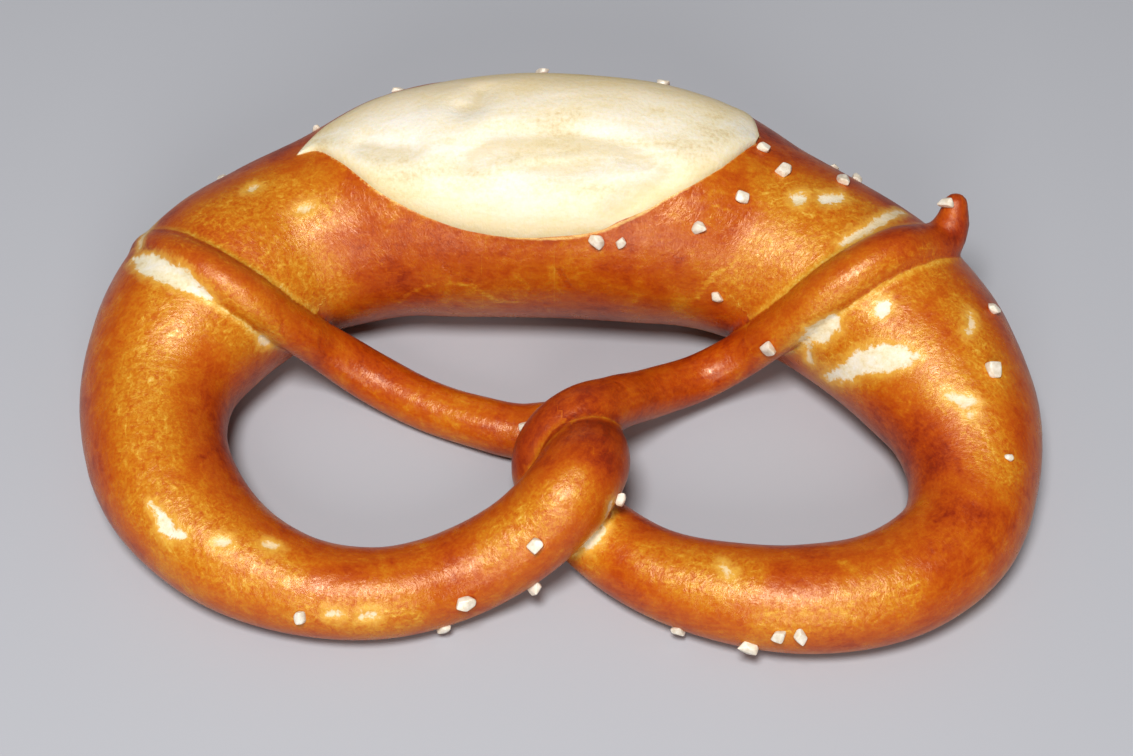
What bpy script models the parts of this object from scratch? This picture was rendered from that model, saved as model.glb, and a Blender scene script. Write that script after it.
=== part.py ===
"""A soft lye pretzel: one rope of dough, thick at its split belly and thin at its two arms.

The rope is laid along its route, twisted once, and fused where it touches itself. The pale
crumb that swells out of the split and the coarse salt are fused to it, so the whole is one
solid. Metres, +Z up: the pretzel lies on the XY plane with its belly towards +Y and its twist
towards -Y, and the origin is under the middle of its bounding box.
"""

import math
import random

import bmesh
import bpy
import numpy as np
from mathutils import Euler, Matrix, Vector
from mathutils.bvhtree import BVHTree

NAME = "pretzel"
MM = 0.001

# The rope's route from tip to tip. Each station is its middle's x and y, how far the dough
# below holds it up off the tray, and its width there, all in millimetres.
LEFT_ARM = (
    (-73.2, 22.8, 9.0, 6.4),
    (-70.8, 19.6, 16.6, 7.6),
    (-66.5, 15.0, 21.0, 8.2),
    (-60.5, 9.6, 22.8, 8.4),
    (-52.5, 5.4, 20.4, 8.4),
    (-46.0, 4.6, 13.6, 8.4),
    (-40.0, 5.2, 6.4, 8.6),
    (-33.0, 3.2, 1.5, 9.0),
    (-22.5, -2.3, 0.0, 9.2),
    (-14.0, -5.8, 0.0, 9.6),
)
LEFT_TWIST = (
    (-6.5, -8.2, 0.0, 10.0),
    (0.0, -9.2, 1.0, 10.8),
    (3.8, -13.6, 3.6, 12.0),
    (4.7, -20.0, 7.8, 13.8),
    (4.1, -26.0, 10.4, 15.0),
    (1.3, -31.0, 9.8, 15.2),
    (-4.0, -34.8, 5.8, 15.2),
)
LEFT_LOOP = (
    (-13.5, -38.8, 1.0, 15.4),
    (-28.0, -43.3, 0.0, 15.6),
    (-41.0, -42.4, 0.0, 16.6),
    (-53.5, -36.8, 0.0, 19.2),
    (-62.5, -27.6, 0.0, 22.2),
    (-68.0, -14.6, 0.0, 24.4),
    (-68.2, -3.0, 0.0, 27.0),
    (-64.4, 7.6, 0.0, 31.6),
    (-57.0, 18.2, 0.0, 34.6),
)
BELLY = (
    (-48.5, 25.6, 0.0, 34.6),
    (-39.0, 30.0, 0.0, 37.0),
    (-27.0, 33.6, 0.0, 42.2),
    (-12.5, 34.8, 0.0, 45.0),
    (6.0, 34.4, 0.0, 45.6),
    (22.0, 31.8, 0.0, 43.6),
    (36.0, 26.2, 0.0, 37.4),
)
RIGHT_LOOP = (
    (47.0, 19.2, 0.0, 35.6),
    (56.6, 10.0, 0.0, 34.4),
    (64.0, -0.8, 0.0, 31.0),
    (68.5, -11.0, 0.0, 26.6),
    (69.4, -21.5, 0.0, 22.4),
    (66.0, -32.8, 0.0, 19.8),
    (56.0, -41.8, 0.0, 19.0),
    (40.5, -45.4, 0.0, 18.2),
    (27.0, -43.5, 0.0, 16.6),
    (15.5, -38.6, 0.0, 15.0),
)
RIGHT_TWIST = (
    (6.2, -30.8, 0.0, 13.8),
    (-0.5, -24.4, 3.2, 12.6),
    (-2.0, -20.4, 6.6, 12.0),
    (-0.2, -17.2, 9.2, 11.6),
    (3.6, -13.9, 10.6, 11.0),
)
RIGHT_ARM = (
    (9.2, -9.0, 8.6, 9.8),
    (16.0, -3.3, 4.8, 9.0),
    (25.0, 2.1, 3.2, 8.6),
    (31.8, 4.2, 6.6, 8.6),
    (38.0, 4.0, 13.6, 8.6),
    (44.0, 4.8, 20.2, 8.6),
    (51.0, 7.6, 24.2, 8.8),
    (58.0, 11.6, 24.4, 9.2),
    (62.2, 14.2, 22.0, 9.4),
    (65.2, 16.4, 21.2, 8.8),
    (67.2, 18.4, 22.8, 7.0),
    (68.0, 19.8, 26.0, 5.6),
    (68.2, 20.8, 28.0, 4.6),
)
ROUTE = LEFT_ARM + LEFT_TWIST + LEFT_LOOP + BELLY + RIGHT_LOOP + RIGHT_TWIST + RIGHT_ARM

# The rope's section is an oval, and the tray flattens the lowest part of it.
HEIGHT_SHARE = 0.9
FLAT_SHARE = 0.07
SECTION_SIDES = 20
SHORTEST_STEP = 2.6 * MM
STEP_SHARE = 0.15
# A tip is rounded off by rings this far past its last station, as shares of its half width.
TIP_ROUNDING = (0.4, 0.75, 0.95)

# The split along the belly: x in millimetres, then where its front lip and its back lip lie
# on the rope's section, in degrees. 0 faces the front, 90 is the top and 180 the back.
SPLIT = (
    (-42.0, 108.0, 108.0),
    (-38.5, 101.0, 117.0),
    (-36.0, 87.0, 122.0),
    (-31.0, 59.0, 125.0),
    (-28.0, 49.0, 126.0),
    (-21.0, 37.0, 127.0),
    (-13.5, 30.0, 128.0),
    (-2.0, 26.0, 128.0),
    (12.0, 35.0, 128.0),
    (19.0, 48.0, 128.0),
    (24.5, 64.0, 128.0),
    (28.5, 86.0, 126.0),
    (30.5, 104.0, 112.0),
)
SPLIT_RINGS = 19
WIDEST_SPLIT = max(back - front for _, front, back in SPLIT)
BELLY_WIDTH = 30 * MM
# The crumb stands proud of the crust, but for a crease along its middle and a step at its lips.
CRUMB_POINTS_ACROSS = 11
CRUMB_PROUD = 2.2 * MM
CRUMB_FLATNESS = 5
CRUMB_CREASE = 0.8 * MM
CREASE_REACH = 0.3
LIP_DEPTH = 0.6 * MM
CRUMB_ROOT_SHARE = 0.3

# Coarse salt: where each grain sits, and its length, in millimetres.
GRAINS = (
    (6.5, 16.0, 25.0, 3.4),
    (10.5, 17.0, 23.0, 2.4),
    (24.0, 17.0, 28.5, 2.8),
    (31.0, 20.5, 31.5, 3.0),
    (38.5, 27.5, 30.5, 3.6),
    (35.5, 31.5, 32.5, 2.6),
    (49.0, 27.0, 28.5, 3.2),
    (50.0, 37.5, 22.5, 2.6),
    (53.5, 33.0, 24.5, 3.0),
    (27.5, 10.0, 18.0, 2.6),
    (35.0, 1.0, 16.5, 3.2),
    (67.0, 22.5, 29.0, 3.0),
    (73.0, 3.5, 20.5, 3.0),
    (72.0, -8.5, 20.5, 3.4),
    (74.0, -24.0, 16.5, 1.8),
    (-3.0, 52.5, 32.5, 2.6),
    (19.0, 49.5, 31.5, 2.8),
    (-29.0, 50.5, 28.0, 2.4),
    (-43.5, 42.5, 25.5, 2.2),
    (-5.5, -9.5, 7.5, 2.8),
    (-1.5, -40.0, 11.5, 3.0),
    (-4.5, -43.0, 6.5, 3.4),
    (-15.0, -46.5, 6.0, 3.6),
    (-19.0, -48.0, 3.5, 2.6),
    (-41.0, -50.5, 8.5, 2.6),
    (9.5, -31.5, 16.0, 3.6),
    (31.0, -53.0, 5.5, 3.6),
    (35.5, -52.5, 8.0, 2.8),
    (38.5, -52.5, 5.5, 3.0),
    (20.0, -49.0, 3.5, 2.8),
    (17.5, -47.5, 5.0, 1.8),
    (46.5, -39.0, 13.5, 1.8),
    (-22.0, 57.5, 18.0, 2.8),
    (9.0, 58.5, 15.0, 3.2),
    (30.0, 50.0, 17.0, 2.6),
    (46.0, 41.5, 14.0, 3.0),
    (66.0, 27.0, 15.0, 2.4),
    (-60.0, 35.0, 20.0, 2.6),
)
GRAIN_PROPORTIONS = (1.0, 0.8, 0.65)
GRAIN_ROUGHNESS = 0.16
GRAIN_LIFT_SHARE = 0.18
GRAIN_TILT = 0.3
GRAIN_SEED = 7

CRUST_COLOUR = (0.42, 0.13, 0.025, 1.0)
CRUST_ROUGHNESS = 0.35


def smooth_through(stations, step_at):
    """Rows along a smooth curve through the stations, about step_at(station) apart."""
    reach = np.cumsum([0.0, *np.linalg.norm(np.diff(stations[:, :3], axis=0), axis=1)])
    slopes = np.gradient(stations, reach, axis=0)
    rows = []
    for k, length in enumerate(np.diff(reach)):
        start, end = stations[k], stations[k + 1]
        leaving, arriving = slopes[k] * length, slopes[k + 1] * length
        for t in np.linspace(0, 1, max(1, round(length / step_at(start))), endpoint=False):
            blend = t * t * (3 - 2 * t)
            bend = t * (1 - t) * ((1 - t) * leaving - t * arriving)
            rows.append(start + blend * (end - start) + bend)
    return np.array([*rows, stations[-1]])


def rounded_tip(end, before):
    """Rows that close the rope past its end, each narrower than the last."""
    outward = (end - before)[:3] / np.linalg.norm((end - before)[:3])
    half = end[3] / 2
    return [
        [*(end[:3] + outward * half * share), end[3] * math.sqrt(1 - share * share)]
        for share in TIP_ROUNDING
    ]


def rope_rows():
    """The rope from tip to tip as rows of its middle's x, y and z and its width, in metres."""
    stations = np.array(ROUTE) * MM
    stations[:, 2] += stations[:, 3] * HEIGHT_SHARE * (0.5 - FLAT_SHARE)
    rows = smooth_through(stations, lambda row: max(SHORTEST_STEP, STEP_SHARE * row[3]))
    left_tip = rounded_tip(rows[0], rows[1])[::-1]
    return np.array([*left_tip, *rows, *rounded_tip(rows[-1], rows[-2])])


def poly_curve(name, points, radii, cyclic):
    data = bpy.data.curves.new(name, "CURVE")
    data.dimensions = "3D"
    spline = data.splines.new("POLY")
    spline.points.add(len(points) - 1)
    for spot, point, radius in zip(spline.points, points, radii):
        spot.co = (*point, 1.0)
        spot.radius = radius
    spline.use_cyclic_u = cyclic
    curve = bpy.data.objects.new(name, data)
    bpy.context.scene.collection.objects.link(curve)
    return curve


def rope(rows):
    """The whole rope as a mesh object that still passes through itself where it is twisted."""
    turns = np.linspace(0, 2 * math.pi, SECTION_SIDES, endpoint=False)
    oval = [(math.cos(turn), HEIGHT_SHARE * math.sin(turn), 0.0) for turn in turns]
    section = poly_curve("section", oval, [1.0] * len(oval), cyclic=True)
    path = poly_curve("path", rows[:, :3], rows[:, 3] / 2, cyclic=False)
    path.data.twist_mode = "Z_UP"
    path.data.bevel_mode = "OBJECT"
    path.data.bevel_object = section
    path.data.use_fill_caps = True
    bpy.context.view_layer.update()
    evaluated = path.evaluated_get(bpy.context.evaluated_depsgraph_get())
    mesh = bpy.data.meshes.new_from_object(evaluated)
    body = bpy.data.objects.new(NAME, mesh)
    body.matrix_world = path.matrix_world
    for guide in (path, section):
        bpy.data.objects.remove(guide)

    bm = bmesh.new()
    bm.from_mesh(mesh)
    bmesh.ops.remove_doubles(bm, verts=bm.verts, dist=0.01 * MM)
    for vertex in bm.verts:
        vertex.co.z = max(vertex.co.z, 0.0)
    bmesh.ops.recalc_face_normals(bm, faces=bm.faces)
    bm.to_mesh(mesh)
    bm.free()
    return body


def crumb_lift(share, openness):
    """How far the crumb stands off the crust, from -1 at its front lip to 1 at its back lip."""
    dome = (LIP_DEPTH + CRUMB_PROUD * openness) * (1 - abs(share) ** CRUMB_FLATNESS)
    crease = CRUMB_CREASE * openness * math.exp(-((share / CREASE_REACH) ** 2))
    return dome - crease - LIP_DEPTH


def crumb(rows):
    """The swollen crumb in the split: proud of the crust between its lips, and sunk below it."""
    belly = rows[rows[:, 3] > BELLY_WIDTH]
    split = np.array(SPLIT)
    middle = (split[0, 0] + split[-1, 0]) / 2
    half = (split[-1, 0] - split[0, 0]) / 2
    spots = middle - half * np.cos(np.linspace(0, math.pi, SPLIT_RINGS + 2)[1:-1])
    across = np.linspace(-1, 1, CRUMB_POINTS_ACROSS)
    rings = []
    for x in spots:
        front, back = (np.interp(x, split[:, 0], split[:, i]) for i in (1, 2))
        openness = math.sqrt((back - front) / WIDEST_SPLIT)
        row, following = (
            np.array([np.interp(at * MM, belly[:, 0], belly[:, i]) for i in range(4)])
            for at in (x, x + 1)
        )
        along = Vector(following[:3] - row[:3])
        side = along.cross(Vector((0, 0, 1))).normalized()
        up = side.cross(along).normalized() * HEIGHT_SHARE
        root = row[3] / 2 * CRUMB_ROOT_SHARE
        reaches = [(share, row[3] / 2 + crumb_lift(share, openness)) for share in across]
        reaches += [(share, root) for share in (1, 0, -1)]
        ring = []
        for share, reach in reaches:
            angle = math.radians(front + (share + 1) / 2 * (back - front))
            ring.append(Vector(row[:3]) + (side * math.cos(angle) + up * math.sin(angle)) * reach)
        rings.append(ring)
    return loft("crumb", rings)


def loft(name, rings):
    """A closed mesh object through the rings, which have as many points as each other."""
    bm = bmesh.new()
    loops = [[bm.verts.new(point) for point in ring] for ring in rings]
    for ring, following in zip(loops, loops[1:]):
        for i in range(len(ring)):
            bm.faces.new((ring[i - 1], ring[i], following[i], following[i - 1]))
    for end in (loops[0], loops[-1]):
        bm.faces.new(end)
    bmesh.ops.recalc_face_normals(bm, faces=bm.faces)
    return object_from(bm, name)


def object_from(bm, name):
    mesh = bpy.data.meshes.new(name)
    bm.to_mesh(mesh)
    bm.free()
    return bpy.data.objects.new(name, mesh)


def salt_grain(skin, spot, length, draw):
    """One rough crystal, part sunk into the nearest place on the crust."""
    place, normal, _, _ = skin.find_nearest(Vector(spot) * MM)
    bm = bmesh.new()
    bmesh.ops.create_icosphere(bm, subdivisions=1, radius=length * MM / 2)
    for vertex in bm.verts:
        vertex.co *= 1 + draw.uniform(-GRAIN_ROUGHNESS, GRAIN_ROUGHNESS)
    lie = normal.to_track_quat("Z", "Y").to_matrix().to_4x4()
    tilt = [draw.uniform(-GRAIN_TILT, GRAIN_TILT) for _ in range(2)]
    turn = Euler((*tilt, draw.uniform(0, math.pi))).to_matrix()
    lift = Matrix.Translation(place + normal * length * MM * GRAIN_LIFT_SHARE)
    shape = Matrix.Diagonal(Vector((*GRAIN_PROPORTIONS, 1.0)))
    bmesh.ops.transform(bm, matrix=lift @ lie @ turn.to_4x4() @ shape, verts=bm.verts)
    return object_from(bm, "salt_grain")


def fuse(body, toppings):
    """One Boolean union of the body, where it crosses itself too, with all of the toppings."""
    union = body.modifiers.new("fuse", "BOOLEAN")
    union.operation = "UNION"
    union.operand_type = "COLLECTION"
    union.collection = toppings
    union.solver = "EXACT"
    union.use_self = True
    bpy.context.view_layer.update()
    evaluated = body.evaluated_get(bpy.context.evaluated_depsgraph_get())
    fused = bpy.data.meshes.new_from_object(evaluated)
    body.modifiers.clear()
    body.data = fused
    for topping in list(toppings.objects):
        bpy.data.objects.remove(topping)
    bpy.data.collections.remove(toppings)


def keep_outer_skin(mesh):
    """Drops what fusing leaves beside the one skin: the walls of sealed hollows, and scraps."""
    bm = bmesh.new()
    bm.from_mesh(mesh)
    bmesh.ops.remove_doubles(bm, verts=bm.verts, dist=0.01 * MM)
    bmesh.ops.triangulate(bm, faces=bm.faces)
    waiting = set(bm.faces)
    skins = []
    while waiting:
        reached = [waiting.pop()]
        for face in reached:
            beside = {other for edge in face.edges for other in edge.link_faces} & waiting
            waiting -= beside
            reached.extend(beside)
        skins.append(reached)
    skins.sort(key=len)
    bmesh.ops.delete(bm, geom=[face for skin in skins[:-1] for face in skin], context="FACES")
    bm.to_mesh(mesh)
    bm.free()


def centre_over_origin(mesh):
    corners = np.array([vertex.co for vertex in mesh.vertices])
    low, high = corners.min(axis=0), corners.max(axis=0)
    middle = (low + high) / 2
    mesh.transform(Matrix.Translation((-middle[0], -middle[1], -low[2])))


def crust_material():
    material = bpy.data.materials.new("baked crust")
    material.use_nodes = True
    shader = material.node_tree.nodes["Principled BSDF"]
    shader.inputs["Base Color"].default_value = CRUST_COLOUR
    shader.inputs["Roughness"].default_value = CRUST_ROUGHNESS
    shader.inputs["Metallic"].default_value = 0.0
    return material


def main():
    for old in list(bpy.data.objects):
        bpy.data.objects.remove(old)

    whole = bpy.data.collections.new(NAME)
    toppings = bpy.data.collections.new("toppings")
    for collection in (whole, toppings):
        bpy.context.scene.collection.children.link(collection)

    rows = rope_rows()
    body = rope(rows)
    whole.objects.link(body)
    bm = bmesh.new()
    bm.from_mesh(body.data)
    skin = BVHTree.FromBMesh(bm)
    bm.free()
    draw = random.Random(GRAIN_SEED)
    toppings.objects.link(crumb(rows))
    for *spot, length in GRAINS:
        toppings.objects.link(salt_grain(skin, spot, length, draw))
    fuse(body, toppings)
    keep_outer_skin(body.data)
    centre_over_origin(body.data)
    body.data.shade_smooth()
    body.data.materials.clear()
    body.data.materials.append(crust_material())


main()
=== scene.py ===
"""A soft lye pretzel: glossy brown crust, a belly split open to pale crumb, and coarse salt.

The dough is drawn as one rope along its route and melted into one skin where it touches itself.
Bumps, sunk tears and the lips of the split are then worked into the skin, and golden, dark and
cracked places are kept on it for its material. The crumb that swells out of the split and the
salt are pieces of their own. Everything is in the part's own frame, in metres; the places named
at the top are in millimetres.
"""

import math
import random

import bpy
import numpy as np
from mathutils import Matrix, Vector, noise
from mathutils.bvhtree import BVHTree
from mathutils.kdtree import KDTree


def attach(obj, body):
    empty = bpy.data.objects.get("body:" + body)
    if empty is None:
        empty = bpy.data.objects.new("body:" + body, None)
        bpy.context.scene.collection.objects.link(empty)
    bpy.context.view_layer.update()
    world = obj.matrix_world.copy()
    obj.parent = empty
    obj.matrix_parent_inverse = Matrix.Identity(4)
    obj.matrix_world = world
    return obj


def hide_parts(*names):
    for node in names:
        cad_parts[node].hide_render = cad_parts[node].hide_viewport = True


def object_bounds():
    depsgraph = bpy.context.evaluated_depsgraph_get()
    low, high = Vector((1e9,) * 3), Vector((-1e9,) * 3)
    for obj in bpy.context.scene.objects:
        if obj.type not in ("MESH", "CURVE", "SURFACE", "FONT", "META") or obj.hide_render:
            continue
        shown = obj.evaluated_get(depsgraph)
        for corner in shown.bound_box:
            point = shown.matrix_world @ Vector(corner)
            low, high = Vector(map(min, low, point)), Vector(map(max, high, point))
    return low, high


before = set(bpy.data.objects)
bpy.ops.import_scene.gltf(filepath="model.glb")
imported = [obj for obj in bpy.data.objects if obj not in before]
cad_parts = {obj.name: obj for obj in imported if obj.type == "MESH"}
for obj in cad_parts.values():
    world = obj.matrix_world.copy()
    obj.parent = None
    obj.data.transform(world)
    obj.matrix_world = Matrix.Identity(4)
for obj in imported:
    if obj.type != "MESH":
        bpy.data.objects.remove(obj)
part_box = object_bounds()

MM = 0.001

# The rope's route from tip to tip. Each station is its middle's x and y, how far the dough
# below holds it up off the tray, and its width there, all in millimetres.
LEFT_ARM = (
    (-73.2, 22.8, 9.0, 6.4),
    (-70.8, 19.6, 16.6, 7.6),
    (-66.5, 15.0, 21.0, 8.2),
    (-60.5, 9.6, 22.8, 8.4),
    (-52.5, 5.4, 20.4, 8.4),
    (-46.0, 4.6, 13.6, 8.4),
    (-40.0, 5.2, 6.4, 8.6),
    (-33.0, 3.2, 1.5, 9.0),
    (-22.5, -2.3, 0.0, 9.2),
    (-14.0, -5.8, 0.0, 9.6),
)
LEFT_TWIST = (
    (-6.5, -8.2, 0.0, 10.0),
    (0.0, -9.2, 1.0, 10.8),
    (3.8, -13.6, 3.6, 12.0),
    (4.7, -20.0, 7.8, 13.8),
    (4.1, -26.0, 10.4, 15.0),
    (1.3, -31.0, 9.8, 15.2),
    (-4.0, -34.8, 5.8, 15.2),
)
LEFT_LOOP = (
    (-13.5, -38.8, 1.0, 15.4),
    (-28.0, -43.3, 0.0, 15.6),
    (-41.0, -42.4, 0.0, 16.6),
    (-53.5, -36.8, 0.0, 19.2),
    (-62.5, -27.6, 0.0, 22.2),
    (-68.0, -14.6, 0.0, 24.4),
    (-68.2, -3.0, 0.0, 27.0),
    (-64.4, 7.6, 0.0, 31.6),
    (-57.0, 18.2, 0.0, 34.6),
)
BELLY = (
    (-48.5, 25.6, 0.0, 34.6),
    (-39.0, 30.0, 0.0, 37.0),
    (-27.0, 33.6, 0.0, 42.2),
    (-12.5, 34.8, 0.0, 45.0),
    (6.0, 34.4, 0.0, 45.6),
    (22.0, 31.8, 0.0, 43.6),
    (36.0, 26.2, 0.0, 37.4),
)
RIGHT_LOOP = (
    (47.0, 19.2, 0.0, 35.6),
    (56.6, 10.0, 0.0, 34.4),
    (64.0, -0.8, 0.0, 31.0),
    (68.5, -11.0, 0.0, 26.6),
    (69.4, -21.5, 0.0, 22.4),
    (66.0, -32.8, 0.0, 19.8),
    (56.0, -41.8, 0.0, 19.0),
    (40.5, -45.4, 0.0, 18.2),
    (27.0, -43.5, 0.0, 16.6),
    (15.5, -38.6, 0.0, 15.0),
)
RIGHT_TWIST = (
    (6.2, -30.8, 0.0, 13.8),
    (-0.5, -24.4, 3.2, 12.6),
    (-2.0, -20.4, 6.6, 12.0),
    (-0.2, -17.2, 9.2, 11.6),
    (3.6, -13.9, 10.6, 11.0),
)
RIGHT_ARM = (
    (9.2, -9.0, 8.6, 9.8),
    (16.0, -3.3, 4.8, 9.0),
    (25.0, 2.1, 3.2, 8.6),
    (31.8, 4.2, 6.6, 8.6),
    (38.0, 4.0, 13.6, 8.6),
    (44.0, 4.8, 20.2, 8.6),
    (51.0, 7.6, 24.2, 8.8),
    (58.0, 11.6, 24.4, 9.2),
    (62.2, 14.2, 22.0, 9.4),
    (65.2, 16.4, 21.2, 8.8),
    (67.2, 18.4, 22.8, 7.0),
    (68.0, 19.8, 26.0, 5.6),
    (68.2, 20.8, 28.0, 4.6),
)
ROUTE = LEFT_ARM + LEFT_TWIST + LEFT_LOOP + BELLY + RIGHT_LOOP + RIGHT_TWIST + RIGHT_ARM
# How far the middle of the part's box lies from the point that the route is measured from.
ROUTE_CENTRE = (0.04, 1.42)
# The rope's section is lower than it is wide, and this share of it is pressed flat on the tray.
HEIGHT_SHARE = 0.9
FLAT_SHARE = 0.07
SECTION_POINTS = 12
# Rows along the rope: how far apart they lie, and how a place on it blends those near its own.
ROW_STEP = 1.2
ROW_BLEND = 4.0
ROWS_BESIDE = 4
PLACES_AT_ONCE = 3000
# How far out the rows that round off a tip lie, as shares of half its width.
TIP_ROUNDING = (0.3, 0.55, 0.75, 0.88, 0.96)

# The split: x, then where its front and back lips lie on the rope's section, in degrees.
SPLIT = (
    (-42.0, 108.0, 108.0),
    (-38.5, 101.0, 117.0),
    (-36.0, 87.0, 122.0),
    (-31.0, 59.0, 125.0),
    (-28.0, 49.0, 126.0),
    (-21.0, 37.0, 127.0),
    (-13.5, 30.0, 128.0),
    (-2.0, 26.0, 128.0),
    (12.0, 35.0, 128.0),
    (19.0, 48.0, 128.0),
    (24.0, 64.0, 128.0),
    (27.6, 86.0, 126.0),
    (29.4, 104.0, 112.0),
)
WIDEST_SPLIT = max(back - front for _, front, back in SPLIT)
BELLY_WIDTH = 30.0
# The crumb: how far it swells out of the split, how flat its dome is, the dip along its middle,
# and how far its edge is sunk under the crust's lip.
CRUMB_PROUD = 2.2
CRUMB_FLATNESS = 5
CRUMB_CREASE = 0.8
CREASE_REACH = 0.3
LIP_DEPTH = 0.6
CRUMB_COLUMNS, CRUMB_ROWS = 170, 120
CRUMB_ENDS = 0.985
EDGE_CROWDING = 0.6
CRUMB_LUMP_SIZE, CRUMB_LUMP_HEIGHT = 14.0, 0.25
CRUMB_RIPPLE_SIZE, CRUMB_RIPPLE_HEIGHT = 5.0, 0.15
# The crumb's closed back is the same sheet drawn in to this share of its size about the heart.
CRUMB_BACK = (0.94, 0.7, 0.7)
# The powers by which the folds fade at the crumb's lips, and its rim colours at its two ends.
FOLD_FADE, END_FADE = 8, 12
LIP_STEPS = 300
BELLY_HEART = (-0.005, 0.034, 0.02)

# The places of the salt grains, x, y and z, and how long each grain is.
GRAINS = (
    (6.6, 16.4, 26.0, 3.4),
    (10.6, 17.4, 24.6, 2.4),
    (23.3, 16.6, 27.4, 2.8),
    (31.1, 19.9, 30.3, 3.0),
    (38.8, 26.6, 29.6, 3.6),
    (35.3, 30.6, 32.0, 2.6),
    (49.3, 26.5, 28.0, 3.2),
    (50.0, 37.5, 22.5, 2.6),
    (53.5, 33.0, 24.5, 3.0),
    (27.5, 10.0, 18.0, 2.6),
    (36.2, 0.2, 15.8, 3.2),
    (66.0, 18.6, 31.5, 3.0),
    (71.5, 1.4, 20.5, 3.0),
    (71.2, -11.0, 20.0, 3.4),
    (73.2, -25.6, 16.3, 1.8),
    (-3.0, 52.5, 32.5, 2.6),
    (19.0, 49.5, 31.5, 2.8),
    (-29.0, 50.5, 28.0, 2.4),
    (-43.5, 42.5, 25.5, 2.2),
    (-5.2, -11.5, 6.5, 2.8),
    (-3.7, -39.0, 12.8, 3.0),
    (-4.5, -43.0, 6.5, 3.4),
    (-15.6, -45.8, 7.6, 3.6),
    (-19.0, -48.0, 3.5, 2.6),
    (-41.0, -50.5, 8.5, 2.6),
    (8.6, -32.0, 15.4, 3.6),
    (31.0, -53.0, 5.5, 3.6),
    (35.5, -52.5, 8.0, 2.8),
    (38.4, -51.5, 8.0, 3.0),
    (20.0, -49.0, 3.5, 2.8),
    (-22.0, 57.5, 18.0, 2.8),
    (9.0, 58.5, 15.0, 2.8),
    (30.0, 50.0, 17.0, 2.6),
    (46.0, 41.5, 14.0, 3.0),
    (66.0, 27.0, 15.0, 2.4),
    (-60.0, 35.0, 20.0, 2.6),
)
# A grain is a cube with its corners cut off. Its sides, cuts, bevel and lift are shares of its
# length.
GRAIN_CUBE = 0.9
GRAIN_CUTS = 10
CUT_NEAREST, CUT_FARTHEST = 0.36, 0.46
GRAIN_BEVEL = 0.1
GRAIN_PROPORTIONS = (0.95, 0.76, 0.62)
GRAIN_LIFT_SHARE = 0.1
GRAIN_LEAN = 0.3
GRAIN_SEED = 7

# Strokes over the skin: each is a run of places with a half width, in millimetres. The torn
# ones show crumb, the golden ones are thin crust, and the dark ones are baked darker and also
# carry painted shade where the rope turns away from the light.
TORN = (
    (
        (-72.5, 12.5, 23.0, 0.5), (-69.5, 9.5, 24.5, 1.6), (-67, 7.5, 25.5, 1.8),
        (-63, 5, 26.5, 1.4), (-60.5, 4, 25.5, 0.9), (-58.5, 2.5, 25, 0.3),
    ),
    (
        (48.5, 11.5, 27.5, 0.2), (51.5, 13.5, 28.5, 0.6), (55.0, 16.5, 28.0, 0.7),
        (59.0, 21.0, 25.0, 0.3),
    ),
    ((44.5, 0.5, 19.5, 1.9), (46.5, 0.0, 21.5, 1.4)),
    ((41.5, -1.0, 19.0, 0.4), (43.5, -1.0, 14.0, 0.6)),
    ((54.5, -0.5, 25.0, 1.2),),
    (
        (46.5, -4, 12.5, 0.4), (49, -6.5, 16.5, 1.2), (52, -6.5, 19, 1.7), (55, -7.5, 21, 2.2),
        (57.5, -8.5, 22.5, 1.4), (59.5, -8.5, 22, 0.4),
    ),
    ((64.5, -15.0, 20.0, 0.3), (66.5, -16.5, 20.5, 0.7), (68.5, -17.0, 20.0, 0.4)),
    ((68.0, -19.0, 20.0, 0.5),),
    ((68.5, -1.5, 24.0, 0.2), (68.5, -3.0, 23.5, 0.3), (68.0, -5.0, 23.5, 0.2)),
    ((41.0, 20.5, 29.0, 0.9), (42.0, 21.0, 29.5, 0.9)),
    ((45.5, 20.5, 28.5, 0.9), (48.0, 21.5, 28.5, 0.9)),
    (
        (-65, -34, 15, 0.1), (-64, -36.5, 15.5, 0.4), (-63, -38, 15, 1.2), (-62, -39, 14.5, 0.8),
        (-60, -40, 15, 0.3),
    ),
    ((-54.5, -41.5, 15.0, 0.4), (-53.0, -41.5, 15.0, 0.6)),
    ((-47.0, -41.5, 13.5, 0.3), (-45.5, -42.0, 14.0, 0.3)),
    ((-36.5, -50.5, 9.0, 0.3), (-35.0, -51.0, 9.5, 0.5)),
    ((-31.5, -50.5, 8.5, 0.3), (-29.5, -51.5, 9.5, 0.5)),
    ((4.5, -37.5, 9.5, 0.6), (6.0, -36.5, 10.0, 0.7), (7.0, -35.5, 10.5, 0.3)),
    ((8.5, -35.0, 17.0, 0.2), (7.5, -35.5, 15.0, 0.2), (6.5, -35.0, 10.5, 0.1)),
    ((26.5, -45.0, 12.5, 0.3), (27.5, -46.5, 12.0, 0.2)),
    ((-71.5, 22.0, 22.0, 0.3), (-72.0, 18.0, 23.5, 0.4), (-72.0, 15.0, 24.0, 0.1)),
    ((-51.5, 1.0, 17.5, 0.3), (-50.5, 1.5, 15.5, 0.4)),
    ((-53.5, 24.0, 28.0, 0.3), (-52.5, 25.0, 28.0, 0.3)),
    ((-45.0, 20.0, 27.0, 0.3), (-43.0, 20.5, 27.5, 0.4)),
)
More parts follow.
